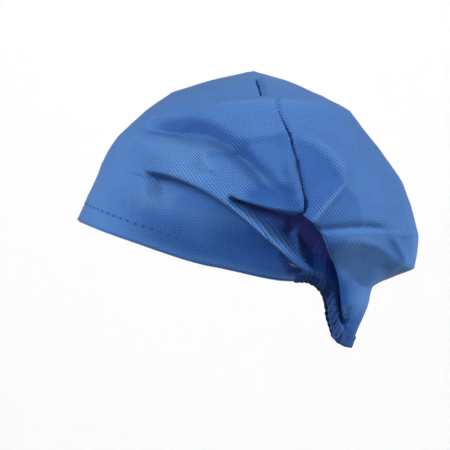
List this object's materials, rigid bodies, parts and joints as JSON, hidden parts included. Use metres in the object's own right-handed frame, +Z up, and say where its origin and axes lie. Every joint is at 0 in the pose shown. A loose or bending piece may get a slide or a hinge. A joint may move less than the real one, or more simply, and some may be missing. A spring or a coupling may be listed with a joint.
{
  "type": "disposable surgical cap",
  "caption": "Limp nonwoven head cap as worn, with a turned-up front hem, a puffed crown that sags into a pouch at the back, and an elastic nape.",
  "frame": {"origin": "middle of the head opening, half way between the front of the rim and the nape edge", "axes": "-X to the wearer's front, -Y to the wearer's left, +Z up"},
  "size_m": [0.2176, 0.1817, 0.178],
  "materials": {
    "nonwoven_blue": "matt, embossed with a fine dot lattice",
    "elastic_white": "matt"
  },
  "bodies": {
    "root": {"crown": "nonwoven_blue", "front_hem": "nonwoven_blue", "nape_casing": "nonwoven_blue", "elastic_band": "elastic_white"}
  },
  "joints": []
}
